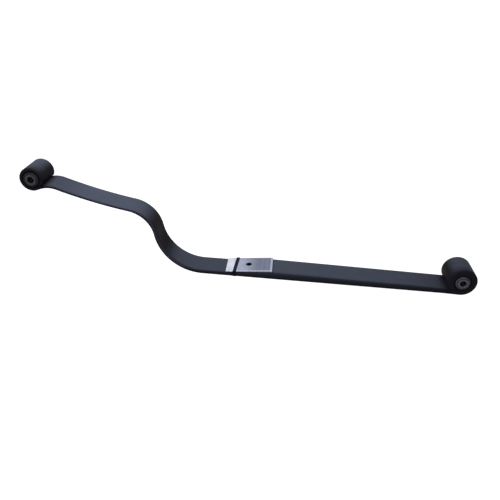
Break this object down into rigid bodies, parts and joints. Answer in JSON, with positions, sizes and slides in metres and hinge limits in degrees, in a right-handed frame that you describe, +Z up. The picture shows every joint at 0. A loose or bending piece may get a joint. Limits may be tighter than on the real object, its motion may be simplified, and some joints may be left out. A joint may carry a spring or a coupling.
{
  "type": "leaf spring",
  "caption": "Cranked single-leaf suspension spring: a tapered bar with a rolled-up eye and rubber bush at each end and a wedge pad banded to its clamping seat.",
  "frame": {"origin": "under the middle of the spring's box, on the surface that it lies on", "axes": "+X along the spring towards the rear (large) eye, +Y across the bar, +Z up"},
  "size_m": [1.2791, 0.09, 0.2885],
  "materials": {
    "black_paint": "satin black paint",
    "bare_metal": "dull brushed",
    "black_band": "matte black",
    "dark_steel": "black oxide",
    "rubber": "dusty matte",
    "plated_steel": "dull plated"
  },
  "bodies": {
    "leaf": {"main_leaf": "black_paint", "seat_pad": "bare_metal", "pad_band": "black_band"},
    "front_eye": {"front_bush_outer_sleeve": "dark_steel", "front_bush_rubber": "rubber"},
    "front_bolt_sleeve": {"front_bush_inner_sleeve": "plated_steel"},
    "rear_eye": {"rear_bush_outer_sleeve": "dark_steel", "rear_bush_rubber": "rubber"},
    "rear_bolt_sleeve": {"rear_bush_inner_sleeve": "plated_steel"}
  },
  "joints": [
    {"name": "front_arm_flex", "type": "hinge", "parent": "leaf", "child": "front_eye", "pos_m": [-0.24999, 0, 0.06758], "axis": [0, -1, 0], "range_deg": [-6, 14], "stiffness_Nm_per_rad": 2100, "deforming": ["main_leaf"]},
    {"name": "front_bush_twist", "type": "hinge", "parent": "front_eye", "child": "front_bolt_sleeve", "pos_m": [-0.60656, 0, 0.25551], "axis": [0, 1, 0], "range_deg": [-20, 20], "stiffness_Nm_per_rad": 90},
    {"name": "rear_arm_flex", "type": "hinge", "parent": "leaf", "child": "rear_eye", "pos_m": [0.24189, 0, 0.0123], "axis": [0, 1, 0], "range_deg": [-3, 7], "stiffness_Nm_per_rad": 25000, "deforming": ["main_leaf"]},
    {"name": "rear_bush_twist", "type": "hinge", "parent": "rear_eye", "child": "rear_bolt_sleeve", "pos_m": [0.59856, 0, 0.0419], "axis": [0, 1, 0], "range_deg": [-20, 20], "stiffness_Nm_per_rad": 90}
  ]
}
